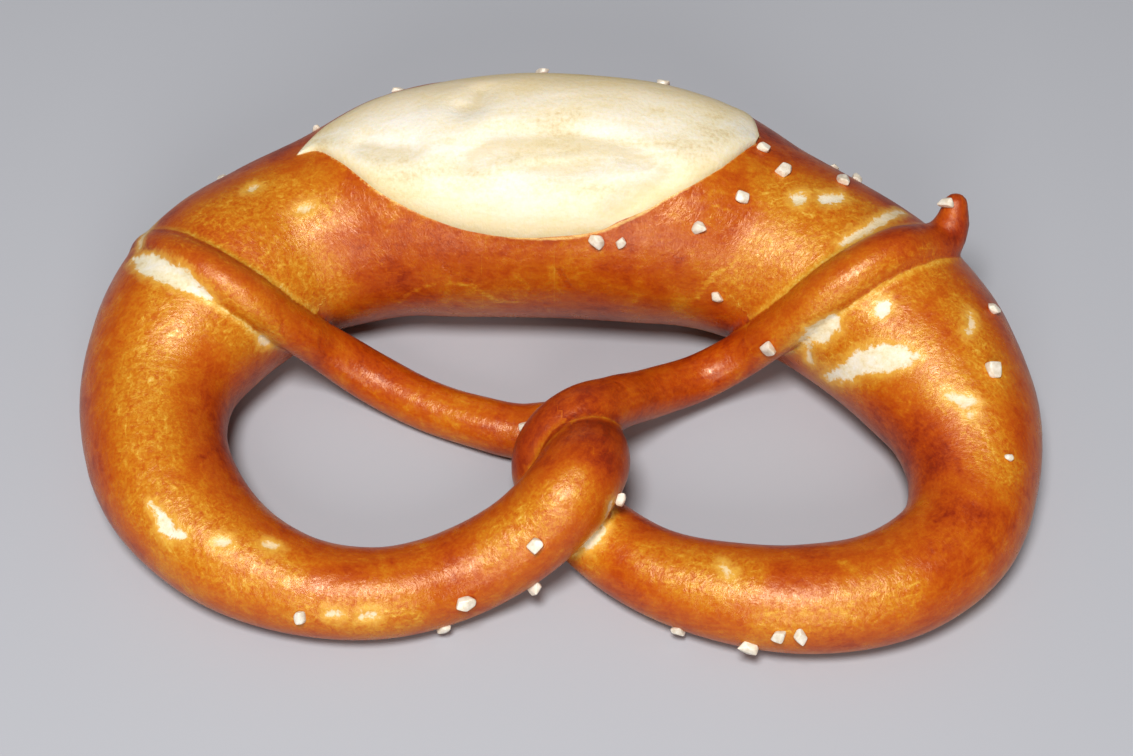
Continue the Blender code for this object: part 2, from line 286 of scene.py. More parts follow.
GOLDEN = (
    ((-63, 13, 28, 2.9), (-57.5, 17, 27.5, 4), (-51, 21, 28.5, 4.3), (-43.5, 20.5, 27.5, 4)),
    ((-56, 10.5, 27, 2.5), (-46, 12, 23, 4), (-41, 10.5, 19, 2.9)),
    ((-65.5, 2, 25, 2.5), (-57, 2.5, 23, 3.2), (-50.5, 0, 19.5, 2.2)),
    ((-67, -2.5, 22.5, 3), (-69.5, -14, 20.5, 3), (-66.5, -26.5, 17.5, 3)),
    (
        (-66, -33.5, 16, 2.9), (-61, -38, 15.5, 4), (-53.5, -42.5, 14, 3.6),
        (-44.5, -46.5, 11.5, 2.2),
    ),
    ((-41, -50.5, 10, 1.3), (-33, -51.5, 9.5, 1.4), (-24.5, -50.5, 8.5, 1.1)),
    ((43.5, -0.5, 17.5, 2.9), (49, 0.5, 23, 3.6), (55.5, 2.5, 27, 3.6), (62, 7.5, 26.5, 2.2)),
    ((46.5, -4, 13.5, 2.5), (54, -6, 21, 3.2), (59, -7, 23.5, 2.2)),
    ((32, 9, 21, 2.5), (37, 11, 24, 4), (43, 14.5, 27.5, 4), (50, 14.5, 28, 2.2)),
    ((38, 20.5, 29, 2.2), (47, 21, 28.5, 2.5), (53.5, 18.5, 28, 1.4)),
    ((64, -13.5, 21, 1.8), (68, -17.5, 19.5, 2.5), (70, -23, 18, 2.2), (73, -28, 17, 1.4)),
    ((66.5, -1, 25.5, 1.4), (68.5, -4, 24, 1.4), (71.5, -12, 21, 1.4)),
    ((15, -42.5, 11.5, 1.8), (23.5, -46, 11.5, 2.5), (29, -47, 13.5, 1.8)),
    ((33.5, -53, 10, 1), (46, -52.5, 12.5, 1.5), (54.5, -49.5, 13.5, 1.5)),
    ((5, -37.5, 9, 2.2), (7.5, -35, 11, 1.4), (9, -33, 15.5, 0.7)),
    ((-9.5, -41, 14, 1.4), (-2, -38, 19, 1.8), (2.5, -34, 19, 1.4)),
)
# Dark strokes: darker bake, and painted shade along edges that turn away from the light.
DARK = (
    ((-69, 23.5, 23, 1.8), (-62.5, 32.5, 22.5, 2.2), (-55, 37.5, 23, 1.8), (-46, 36, 26.5, 1.3)),
    ((-72, 17, 24, 2.0), (-69.5, 15.5, 26, 2.2), (-61.5, 11, 29, 2.2), (-54.5, 8, 28, 1.8)),
    ((36, 35, 30, 1.4), (47.5, 31.5, 26.5, 1.6), (58.5, 23, 25.5, 1.6)),
    ((60, 11.5, 31.5, 2.5), (66, 15.5, 29.5, 2.5), (69, 20.5, 28.5, 2.4), (70, 22, 31, 2.4)),
    ((4.5, -22, 20, 2.2), (8, -24.5, 20.5, 2.2), (8.5, -29, 19.5, 1.8)),
    ((-55.5, -6, 8, 2.2), (-56.5, -17.5, 12, 2.5), (-53.5, -27.5, 13.5, 1.8)),
    ((59, -25.5, 10.5, 2.2), (62, -23, 16, 2.9), (57.5, -17, 11, 1.8)),
    ((-4.5, -22, 14, 1.5), (-4, -18, 17, 2), (-0.5, -14.5, 19.5, 2), (5, -11.5, 19, 2)),
)
# Thin golden cracks, then creases and scabs in the skin. Both creases and scabs are painted
# darker: the scabs in their own colour, the creases with painted shade.
THREADS = (
    (
        (-5.0, -25.3, 13.6, 0.6), (-3.6, -27.2, 18.4, 0.6), (-2.0, -24.8, 18.5, 0.5),
        (-0.4, -23.6, 20.2, 0.4), (2.9, -19.3, 18.5, 0.3), (6.2, -17.7, 17.6, 0.3),
        (8.8, -17.2, 15.7, 0.2),
    ),
    (
        (-28.2, 14.5, 13.0, 0.1), (-26.4, 15.0, 15.5, 0.2), (-24.9, 15.6, 16.5, 0.2),
        (-20.5, 11.8, 19.0, 0.1), (-15.0, 12.2, 18.4, 0.2), (-10.3, 15.4, 14.9, 0.2),
        (-6.8, 15.6, 15.2, 0.1),
    ),
    ((-31.2, 14.0, 22.2, 0.1), (-28.9, 14.4, 19.8, 0.1), (-26.8, 13.5, 19.8, 0.1)),
    ((24.1, 10.9, 17.5, 0.1), (25.4, 10.3, 20.2, 0.2), (26.8, 11.8, 20.6, 0.1)),
    ((33.4, 15.5, 26.2, 0.1), (34.0, 16.4, 27.8, 0.1), (34.5, 17.3, 29.3, 0.1)),
    ((24.7, 10.1, 20.2, 0.1), (27.0, 10.6, 22.4, 0.2), (29.4, 10.9, 23.6, 0.1)),
    ((25.6, 19.1, 29.9, 0.1), (28.1, 18.8, 28.7, 0.1), (30.2, 17.3, 29.3, 0.1)),
    (
        (-58.0, 2.6, 25.9, 0.3), (-55.9, 2.4, 23.1, 0.3), (-53.1, 0.4, 22.1, 0.3),
        (-51.5, 1.2, 18.1, 0.3),
    ),
    (
        (68.7, -20.0, 18.5, 0.2), (70.0, -22.8, 18.1, 0.2), (71.8, -26.7, 17.3, 0.1),
        (73.5, -28.2, 15.9, 0.1),
    ),
)
CREASES = (
    (
        (-47.6, 1.3, 22.1, 0.0), (-47.0, 0.7, 21.2, 0.1), (-47.2, -0.1, 19.6, 0.1),
        (-46.4, -0.5, 17.7, 0.0),
    ),
    ((-41.2, 2.6, 15.9, 0.0), (-41.4, 0.9, 14.5, 0.1), (-40.2, 0.3, 12.3, 0.0)),
    ((-44.7, 1.0, 18.3, 0.0), (-42.5, 0.9, 15.8, 0.0)),
    ((-19.4, 13.4, 21.9, 0.3), (-18.1, 14.4, 20.1, 0.3)),
    ((-16.1, 14.5, 19.2, 0.3), (-15.1, 14.6, 18.8, 0.3)),
    ((0.2, 12.3, 22.1, 0.3), (2.0, 14.4, 18.8, 0.4)),
    ((-2.2, 12.3, 14.1, 0.4),),
    ((-58.9, -25.6, 17.2, 0.3), (-58.0, -25.5, 16.6, 0.3)),
    ((9.4, -9.2, 16.4, 0.2), (10.7, -10.0, 16.0, 0.2)),
    ((12.7, -9.8, 14.8, 0.2), (14.7, -8.5, 13.2, 0.2)),
)
TORN_SPREAD = 0.15
TORN_DEPTH, TORN_SLOPE = 0.25, 0.6
# How bare of crust a torn place is at least, and how much barer for each millimetre of width.
LEAST_BARE, BARE_BY_WIDTH = 0.45, 0.5
GOLDEN_REACH = 3.5
DARK_REACH = 4.0
# Painted shade: skin facing back, away from the lamps, is painted darker. The skin is left
# smooth where it faces the tray.
FAR_SIDE_SHADE = 0.5
FAR_SIDE = (0.2, 0.95)
OFF_THE_TRAY = (-0.6, 0.2)
# No distance over this one is kept for the materials.
FARTHEST = 6.0

# Folds in the crumb: runs of (x, y, z, half width) that lie lower, and one that swells higher.
# The crumb's material paints shade along the lower folds.
FOLDS = (
    (
        (-15.0, 23.9, 36.4, 0.7), (-10.2, 27.0, 34.0, 1.0), (-4.1, 26.4, 35.1, 1.3),
        (1.4, 26.6, 35.4, 1.3), (8.8, 25.7, 35.1, 1.0), (15.1, 23.2, 36.4, 0.6),
    ),
    ((-33.5, 29.0, 33.4, 0.2), (-30.5, 27.4, 34.8, 0.5), (-26.0, 26.5, 36.3, 0.3)),
    ((-15.8, 33.9, 36.0, 0.4), (-14.4, 34.3, 36.8, 0.6), (-13.1, 37.2, 35.4, 0.4)),
    ((-4.1, 23.3, 32.8, 0.4), (1.6, 22.0, 35.1, 0.6), (7.1, 23.7, 34.7, 0.4)),
    ((9.6, 19.8, 29.9, 0.4), (13.9, 20.8, 31.8, 0.6), (17.9, 22.5, 33.2, 0.4)),
)
SWELLS = (((-20.0, 31.2, 34.7, 1.5), (-12.8, 30.1, 34.4, 2.2), (-5.7, 28.6, 35.4, 1.5)),)
FOLD_DEPTH, FOLD_REACH = 0.8, 2.4
SWELL_HEIGHT, SWELL_REACH = 0.35, 3.0

# Two places on the skin belong to two strands if they are this far apart along the rope.
OTHER_STRAND = 30.0
SEAM_BLUR = 1.6
# The crust is turned up a little along the lips of the split.
LIP_HEIGHT, LIP_REACH = 0.15, 1.6

# The skin's grid, how often it is smoothed, and what is so near together that it is merged.
VOXEL = 0.7
MELT_ROUNDS = 4
SAME_PLACE = 0.01
SHORTEST_GRAIN_EDGE = 0.05
SHORTEST_CRUMB_EDGE = 0.004
# Unevenness of the crust: how broad and how high.
LUMP_SIZE, LUMP_HEIGHT = 17.0, 0.35
RIPPLE_SIZE, RIPPLE_HEIGHT = 5.0, 0.07


# The route and the places on it.


def route_rows():
    """Rows about ROW_STEP apart along the rope: its middle's x, y, z and its width, in mm."""
    stations = np.array(ROUTE)
    stations[:, :2] -= ROUTE_CENTRE
    stations[:, 2] += stations[:, 3] * HEIGHT_SHARE * (0.5 - FLAT_SHARE)
    reach = np.cumsum([0.0, *np.linalg.norm(np.diff(stations[:, :3], axis=0), axis=1)])
    slopes = np.gradient(stations, reach, axis=0)
    rows = []
    for k, length in enumerate(np.diff(reach)):
        start, end = stations[k], stations[k + 1]
        leaving, arriving = slopes[k] * length, slopes[k + 1] * length
        for t in np.linspace(0, 1, max(2, round(length / ROW_STEP)), endpoint=False):
            blend = t * t * (3 - 2 * t)
            bend = t * (1 - t) * ((1 - t) * leaving - t * arriving)
            rows.append(start + blend * (end - start) + bend)
    rows.append(stations[-1])
    return np.array(rows)


def tip_rows(end, before):
    """Rows that round off a tip, each narrower than the last."""
    outward = (end - before)[:3] / np.linalg.norm((end - before)[:3])
    return [
        [*(end[:3] + outward * end[3] / 2 * share), end[3] * math.sqrt(1 - share * share)]
        for share in TIP_ROUNDING
    ]


class Strand:
    """The rope's rows with their directions, to find where a place lies on the rope."""

    def __init__(self, rows):
        self.rows = rows
        steps = np.linalg.norm(np.diff(rows[:, :3], axis=0), axis=1)
        self.reach = np.cumsum([0.0, *steps])
        along = np.gradient(rows[:, :3], axis=0)
        self.along = along / np.linalg.norm(along, axis=1, keepdims=True)
        side = np.cross(self.along, (0.0, 0.0, 1.0))
        self.side = side / np.linalg.norm(side, axis=1, keepdims=True)
        self.up = np.cross(self.side, self.along)

    def find(self, places):
        """For each place: its nearest row, then its angle, reach and width on the rope there."""
        half = self.rows[:, 3] / 2
        row_at = np.empty(len(places), int)
        angle, reach, width = (np.empty(len(places)) for _ in range(3))
        for start in range(0, len(places), PLACES_AT_ONCE):
            part = slice(start, start + PLACES_AT_ONCE)
            away = places[part, None, :] - self.rows[None, :, :3]
            a = np.einsum("ijk,jk->ij", away, self.side) / half
            b = np.einsum("ijk,jk->ij", away, self.up) / (half * HEIGHT_SHARE)
            c = np.einsum("ijk,jk->ij", away, self.along) / half
            away = a * a + b * b + c * c
            own = away.argmin(axis=1)
            lines = np.arange(len(own))
            row_at[part] = own
            beside = own[:, None] + np.arange(-ROWS_BESIDE, ROWS_BESIDE + 1)
            beside = np.clip(beside, 0, len(half) - 1)
            close = np.take_along_axis(away, beside, 1) - away[lines, own][:, None]
            share = np.exp(-close * half[own][:, None] ** 2 / ROW_BLEND)
            share /= share.sum(axis=1, keepdims=True)
            here, above, ahead = (
                (share * np.take_along_axis(values, beside, 1)).sum(axis=1)
                for values in (a, b, c * half)
            )
            angle[part] = np.degrees(np.arctan2(above, here))
            reach[part] = (share * self.reach[beside]).sum(axis=1) + ahead
            width[part] = (share * self.rows[beside, 3]).sum(axis=1)
        return row_at, angle, reach, width


def nearest_of(tree, places):
    """For each place, which of the tree's points is nearest and how far it is, in mm."""
    found = [tree.find(place) for place in places]
    return np.array([index for _, index, _ in found]), np.array([away for *_, away in found])


def tree_of(places):
    tree = KDTree(len(places))
    for index, place in enumerate(places):
        tree.insert(place, index)
    tree.balance()
    return tree


def seam_distance(piece, places, row_at, strand):
    """How far each place is from where two strands meet, below 0 on the upper one of the two."""
    edges = np.empty(len(piece.data.edges) * 2, int)
    piece.data.edges.foreach_get("vertices", edges)
    edges = edges.reshape(-1, 2)
    reach = strand.reach[row_at]
    edges = edges[np.abs(reach[edges[:, 0]] - reach[edges[:, 1]]) > OTHER_STRAND]
    height = strand.rows[row_at[edges], 2]
    lower = reach[np.where(height[:, 0] < height[:, 1], edges[:, 0], edges[:, 1])]
    upper = reach[np.where(height[:, 0] < height[:, 1], edges[:, 1], edges[:, 0])]
    middles = places[edges].mean(axis=1)
    rough = tree_of(middles)
    smooth = [
        np.mean([place for place, *_ in rough.find_range(middle, SEAM_BLUR)], axis=0)
        for middle in middles
    ]
    nearest, away = nearest_of(tree_of(smooth), places)
    below = np.abs(reach - lower[nearest]) < np.abs(reach - upper[nearest])
    return np.minimum(away, FARTHEST) * np.where(below, 1, -1)


def laid_on(piece, strokes):
    """The same strokes with their places moved onto the piece's skin."""
    skin = BVHTree.FromObject(piece, bpy.context.evaluated_depsgraph_get())
    return [
        [(*(skin.find_nearest(Vector(place) * MM)[0] / MM), width) for *place, width in stroke]
        for stroke in strokes
    ]


def stroke_distance(places, stroke):
    """How far each place lies outside the stroke, in millimetres, below 0 inside it."""
    points = np.array(stroke, float)
    if len(points) == 1:
        return np.linalg.norm(places - points[0, :3], axis=1) - points[0, 3]
    nearest = np.full(len(places), np.inf)
    for start, end in zip(points, points[1:]):
        run = end[:3] - start[:3]
        t = np.clip((places - start[:3]) @ run / (run @ run), 0, 1)
        middle = start[:3] + t[:, None] * run
        width = start[3] + t * (end[3] - start[3])
        nearest = np.minimum(nearest, np.linalg.norm(places - middle, axis=1) - width)
    return nearest


def strokes_distance(places, strokes):
    return np.minimum.reduce([stroke_distance(places, stroke) for stroke in strokes])


def smoothstep(low, high, value):
    t = np.clip((value - low) / (high - low), 0, 1)
    return t * t * (3 - 2 * t)


# Modelling by hand.


def deselect():
    if bpy.context.object and bpy.context.object.mode != "OBJECT":
        bpy.ops.object.mode_set(mode="OBJECT")
    bpy.ops.object.select_all(action="DESELECT")


def choose(piece):
    deselect()
    piece.select_set(True)
    bpy.context.view_layer.objects.active = piece


def apply_modifier(piece, kind, **settings):
    choose(piece)
    modifier = piece.modifiers.new(kind.lower(), kind)
    for name, value in settings.items():
        setattr(modifier, name, value)
    bpy.ops.object.modifier_apply(modifier=modifier.name)


def vertices_of(piece):
    places = np.empty(len(piece.data.vertices) * 3)
    piece.data.vertices.foreach_get("co", places)
    return places.reshape(-1, 3) / MM


def normals_of(piece):
    normals = np.empty(len(piece.data.vertices) * 3)
    piece.data.vertices.foreach_get("normal", normals)
    return normals.reshape(-1, 3)


def move_vertices(piece, places):
    piece.data.vertices.foreach_set("co", (places * MM).ravel())
    piece.data.update()


def within_part(places):
    low, high = np.array(part_box) / MM
    return np.clip(places, low, high)


def paint(piece, name, values):
    """Keeps one number or one vector for each vertex under that name."""
    kind, field = ("FLOAT", "value") if values.ndim == 1 else ("FLOAT_VECTOR", "vector")
    layer = piece.data.attributes.new(name, kind, "POINT")
    layer.data.foreach_set(field, values.astype(np.float32).ravel())


def lumps(places, size, seed):
    """Smooth unevenness of about that size, from -1 to 1."""
    offset = Vector((seed * 17.3, seed * 5.1, seed * 9.7))
    return np.array([noise.noise(Vector(place) / size + offset) for place in places])


def select_points(path, wanted):
    for k, point in enumerate(path.data.splines[0].points):
        point.select = wanted(k)


def roll_dough(rows):
    """The rope, drawn from its first tip station by station, then given its oval section."""
    deselect()
    bpy.ops.curve.primitive_bezier_circle_add(radius=1)
    section = bpy.context.object
    bpy.ops.transform.resize(value=(1, HEIGHT_SHARE, 1))
    section.data.resolution_u = SECTION_POINTS

    bpy.ops.curve.primitive_nurbs_path_add(enter_editmode=True)
    path = bpy.context.object
    bpy.ops.curve.spline_type_set(type="POLY")
    select_points(path, lambda k: k > 1)
    bpy.ops.curve.delete(type="VERT")
    here = None
    for k, (x, y, z, width) in enumerate(rows):
        there = Vector((x, y, z)) * MM
        if k < 2:
            select_points(path, lambda point: point == k)
            here = Vector(path.data.splines[0].points[k].co[:3])
            bpy.ops.transform.translate(value=there - here)
        else:
            bpy.ops.curve.extrude_move(TRANSFORM_OT_translate={"value": there - here})
        bpy.ops.curve.radius_set(radius=width / 2 * MM)
        here = there
    bpy.ops.object.mode_set(mode="OBJECT")
    path.data.dimensions = "3D"
    path.data.twist_mode = "Z_UP"
    path.data.bevel_mode = "OBJECT"
    path.data.bevel_object = section
    path.data.use_fill_caps = True
    choose(path)
    bpy.ops.object.convert(target="MESH")
    bpy.ops.object.transform_apply(location=True, rotation=True, scale=True)
    dough = bpy.context.object
    bpy.ops.object.mode_set(mode="EDIT")
    bpy.ops.mesh.select_all(action="SELECT")
    bpy.ops.mesh.remove_doubles(threshold=SAME_PLACE * MM)
    bpy.ops.mesh.normals_make_consistent(inside=False)
    bpy.ops.mesh.select_all(action="DESELECT")
    bpy.ops.object.mode_set(mode="OBJECT")
    for vertex in dough.data.vertices:
        vertex.select = vertex.co.z < 0
    bpy.ops.object.mode_set(mode="EDIT")
    bpy.ops.transform.resize(value=(1, 1, 0), center_override=(0, 0, 0))
    bpy.ops.object.mode_set(mode="OBJECT")
    bpy.data.objects.remove(section)
    dough.name = "crust"
    return dough


def smooth_between(x, known_x, known):
    """The value at x on a smooth curve through the known ones."""
    slopes = np.gradient(known, known_x)
    k = np.clip(np.searchsorted(known_x, x) - 1, 0, len(known_x) - 2)
    length = known_x[k + 1] - known_x[k]
    t = np.clip((x - known_x[k]) / length, 0, 1)
    bend = t * (1 - t) * ((1 - t) * slopes[k] - t * slopes[k + 1]) * length
    return known[k] + t * t * (3 - 2 * t) * (known[k + 1] - known[k]) + bend


def split_at(x):
    """Where the split's two lips lie at x, and how open it is there."""
    split = np.array(SPLIT)
    front, back = (smooth_between(x, split[:, 0], split[:, i]) for i in (1, 2))
    return front, back, np.sqrt(np.maximum(back - front, 0) / WIDEST_SPLIT)


def on_belly(strand, x, share, lift):
    """Places in the split at x, from share -1 at its front lip to 1 at its back lip."""
    front, back, openness = split_at(x)
    belly = strand.rows[:, 3] > BELLY_WIDTH
    route_x = strand.rows[belly, 0]
    at = x - ROUTE_CENTRE[0]
    row, side, up = (
        np.stack([np.interp(at, route_x, values[belly, i]) for i in range(width)], 1)
        for values, width in ((strand.rows, 4), (strand.side, 3), (strand.up, 3))
    )
    angle = np.radians(front + (share + 1) / 2 * (back - front))
    reach = row[:, 3] / 2 + lift(share, openness)
    out = side * np.cos(angle)[:, None] + up * (np.sin(angle) * HEIGHT_SHARE)[:, None]
    return row[:, :3] + out * reach[:, None]


def crumb_lift(share, openness):
    """How far the crumb stands off the crust, from -1 at its front lip to 1 at its back lip."""
    dome = (LIP_DEPTH + CRUMB_PROUD * openness) * (1 - np.abs(share) ** CRUMB_FLATNESS)
    crease = CRUMB_CREASE * openness**3 * np.exp(-((share / CREASE_REACH) ** 2))
    return dome - crease - LIP_DEPTH


def lip_places(strand):
    """Places along both lips of the split, where the crumb comes out of the crust."""
    x = np.linspace(SPLIT[0][0], SPLIT[-1][0], LIP_STEPS)
    *_, openness = split_at(x)
    sunk = (LIP_DEPTH + LIP_HEIGHT) / (LIP_DEPTH + CRUMB_PROUD * openness)
    share = np.maximum(1 - sunk, 0) ** (1 / CRUMB_FLATNESS)
    return np.concatenate([
        on_belly(strand, x, side * share, lambda share, openness: LIP_HEIGHT)
        for side in (-1, 1)
    ])


def swell_crumb(strand):
    """The crumb in the split: a sheet laid over the belly, domed and folded, then drawn inward."""
    deselect()
    bpy.ops.mesh.primitive_grid_add(
        x_subdivisions=CRUMB_COLUMNS, y_subdivisions=CRUMB_ROWS, size=2
    )
    crumb = bpy.context.object
    crumb.name = "crumb"
    sheet = vertices_of(crumb) * MM
    middle, half = (SPLIT[0][0] + SPLIT[-1][0]) / 2, (SPLIT[-1][0] - SPLIT[0][0]) / 2
    x = middle + half * np.sin(sheet[:, 0] * CRUMB_ENDS * math.pi / 2)
    share = np.sin(sheet[:, 1] * math.pi / 2) * EDGE_CROWDING + sheet[:, 1] * (1 - EDGE_CROWDING)
    move_vertices(crumb, on_belly(strand, x, share, crumb_lift))

    places, normals = vertices_of(crumb), normals_of(crumb)
    folds = strokes_distance(places, laid_on(crumb, FOLDS))
    swells = strokes_distance(places, laid_on(crumb, SWELLS))
    rise = -FOLD_DEPTH * np.exp(-((np.maximum(folds, 0) / FOLD_REACH) ** 2))
    rise += SWELL_HEIGHT * np.exp(-((np.maximum(swells, 0) / SWELL_REACH) ** 2))
    ripples = CRUMB_RIPPLE_HEIGHT * lumps(places * (0.5, 1, 1), CRUMB_RIPPLE_SIZE, seed=3)
    rise += ripples + CRUMB_LUMP_HEIGHT * lumps(places, CRUMB_LUMP_SIZE, seed=4)
    inside = 1 - np.abs(share) ** FOLD_FADE
    move_vertices(crumb, within_part(places + normals * (rise * inside)[:, None]))
    paint(crumb, "fold", np.minimum(folds, FARTHEST))
    paint(crumb, "rim", (1 - share) * (1 - np.abs(sheet[:, 0]) ** END_FADE))

    choose(crumb)
    bpy.ops.object.mode_set(mode="EDIT")
    bpy.ops.mesh.select_all(action="SELECT")
    bpy.ops.mesh.extrude_region_move()
    bpy.ops.transform.resize(value=CRUMB_BACK, center_override=BELLY_HEART)
    bpy.ops.mesh.select_all(action="SELECT")
    bpy.ops.mesh.dissolve_degenerate(threshold=SHORTEST_CRUMB_EDGE * MM)
    bpy.ops.mesh.normals_make_consistent(inside=False)
    bpy.ops.object.mode_set(mode="OBJECT")
    return crumb


def break_grain(skin, spot, length, draw):
    """One crystal: a cube with its corners broken off, part sunk into the crust."""
    place, normal, _, _ = skin.find_nearest(Vector(spot) * MM)
    deselect()
    bpy.ops.mesh.primitive_cube_add(size=GRAIN_CUBE * length * MM)
    grain = bpy.context.object
    bpy.ops.object.mode_set(mode="EDIT")
    for _ in range(GRAIN_CUTS):
        bpy.ops.mesh.select_all(action="SELECT")
        facing = Vector([draw.gauss(0, 1) for _ in range(3)]).normalized()
        bpy.ops.mesh.bisect(
            plane_co=facing * length * MM * draw.uniform(CUT_NEAREST, CUT_FARTHEST),
            plane_no=facing,
            use_fill=True,
            clear_outer=True,
        )
    bpy.ops.mesh.select_all(action="SELECT")
    bpy.ops.mesh.remove_doubles(threshold=SHORTEST_GRAIN_EDGE * MM)
    bpy.ops.mesh.bevel(offset=length * GRAIN_BEVEL * MM, segments=3, affect="EDGES")
    bpy.ops.mesh.vertices_smooth(factor=0.5, repeat=2)
    bpy.ops.mesh.convex_hull(use_existing_faces=False, join_triangles=False)
    bpy.ops.object.mode_set(mode="OBJECT")
    grain.scale = GRAIN_PROPORTIONS
    bpy.ops.object.transform_apply(location=False, rotation=False, scale=True)
    lie = normal.to_track_quat("Z", "Y")
    grain.rotation_mode = "QUATERNION"
    leaning = Vector([draw.uniform(-GRAIN_LEAN, GRAIN_LEAN) for _ in range(2)] + [1])
    facing = Vector((math.cos(draw.uniform(0, 3)), math.sin(draw.uniform(0, 3)), 0))
    turn = Vector((1, 0, 0)).rotation_difference(facing)
    turn = Vector((0, 0, 1)).rotation_difference(leaning) @ turn
    grain.rotation_quaternion = lie @ turn
    grain.location = place + normal * length * MM * GRAIN_LIFT_SHARE
    bpy.ops.object.transform_apply(location=True, rotation=True, scale=True)
    return grain


def work_skin(crust, strand):
    """Works the melted skin: unevenness, and what the shader needs to know at each vertex."""
    places, normals = vertices_of(crust), normals_of(crust)
    row_at, angle, reach, width = strand.find(places)
    around = np.radians((angle + 90) % 360) * width / 2
    each_torn = np.array([stroke_distance(places, stroke) for stroke in laid_on(crust, TORN)])
    torn = each_torn.min(axis=0) - TORN_SPREAD
    widest = np.array([max(width for *_, width in stroke) for stroke in TORN])
    bare = np.clip(LEAST_BARE + widest[each_torn.argmin(axis=0)] * BARE_BY_WIDTH, 0, 1)
    _, lip = nearest_of(tree_of(lip_places(strand)), places)
    golden, dark_and_shade = (
        np.exp(-((np.maximum(strokes_distance(places, laid_on(crust, strokes)), 0) / fade) ** 2))
        for strokes, fade in ((GOLDEN, GOLDEN_REACH), (DARK, DARK_REACH))
    )
    paint(crust, "dough", np.stack([reach, around, width], 1) * MM)
    paint(crust, "torn", np.minimum(torn, FARTHEST))
    paint(crust, "bare", bare)
    paint(crust, "lip", np.minimum(lip, FARTHEST))
    for name, strokes in (("thread", THREADS), ("crease", CREASES)):
        away = strokes_distance(places, laid_on(crust, strokes))
        paint(crust, name, np.minimum(away, FARTHEST))
    # Painted shade: skin that faces back, away from the lamps, is darkened into the same mask as
    # the dark strokes.
    dark_and_shade = np.maximum(dark_and_shade, FAR_SIDE_SHADE * smoothstep(*FAR_SIDE, normals[:, 1]))
    paint(crust, "golden", golden)
    paint(crust, "dark_and_shade", dark_and_shade)
    paint(crust, "seam", seam_distance(crust, places, row_at, strand))

    off_the_tray = smoothstep(*OFF_THE_TRAY, normals[:, 2])
    rise = LUMP_HEIGHT * lumps(places, LUMP_SIZE, seed=1)
    rise += RIPPLE_HEIGHT * lumps(places, RIPPLE_SIZE, seed=2)
    rise -= TORN_DEPTH * smoothstep(TORN_SLOPE, -TORN_SLOPE, torn)
    rise += LIP_HEIGHT * smoothstep(LIP_REACH, 0, lip)
    move_vertices(crust, within_part(places + normals * (rise * off_the_tray)[:, None]))


# Materials.

# Colours, from the palest to the darkest bake, from the deepest to the whitest crumb, and of salt.
BAKE = (
    (0.02, (0.82, 0.60, 0.24, 1)),
    (0.2, (0.70, 0.39, 0.05, 1)),
    (0.36, (0.60, 0.23, 0.012, 1)),
    (0.5, (0.53, 0.13, 0.004, 1)),
    (0.64, (0.46, 0.076, 0.002, 1)),
    (0.8, (0.32, 0.032, 0.002, 1)),
    (1.0, (0.14, 0.012, 0.002, 1)),
)
CREAM = (
    (0.3, (0.69, 0.56, 0.34, 1)),
    (0.42, (0.80, 0.72, 0.52, 1)),
    (0.54, (0.83, 0.78, 0.66, 1)),
    (0.68, (0.86, 0.83, 0.77, 1)),
)
SALT = ((0.3, (0.68, 0.60, 0.48, 1)), (0.7, (0.88, 0.83, 0.74, 1)))
GOLD_ROUND_TEARS = (0.76, 0.45, 0.08, 1)
GOLD_LIP = (0.76, 0.52, 0.18, 1)
# Painted shade in the crumb's folds.
FOLD_SHADE_CREAM = (0.62, 0.50, 0.27, 1)
FRONT_LIP_CREAM = (0.84, 0.70, 0.36, 1)
BACK_LIP_TAN = (0.74, 0.56, 0.26, 1)
BACK_RIM_BROWN = (0.40, 0.16, 0.03, 1)
# How fine each pattern is, in waves to the metre.
CLOUDS, PATCHES, CURLS, FIBRES, MOTTLE, SPECKS = 60.0, 210.0, 760.0, 900.0, 1000.0, 2200.0
RAGGED, FINELY_RAGGED, WRINKLES, BLISTERS = 420.0, 1300.0, 580.0, 1500.0
CRUST_STREAKS, CRUMB_STREAKS, BROAD, PORES, WISPS = 500.0, 260.0, 60.0, 1300.0, 700.0
SALT_CLOUDS = 900.0
# How much darker each thing makes the crust, or lighter where it is below 0. The dark bends and
# the creases are darker partly as painted shade, and the crust on top of a seam wholly so.
THIN_PLACES, FLECKS, DARK_BENDS_AND_SHADE = -0.25, -0.15, 0.14
BESIDE_SEAM, SEAM_SHADE, CRACKS, SCABS_AND_CREASE_SHADE = -0.2, 0.08, -0.18, 0.12
# How deep the material's bumps are, in metres.
BUMP_DEPTH = 0.0004


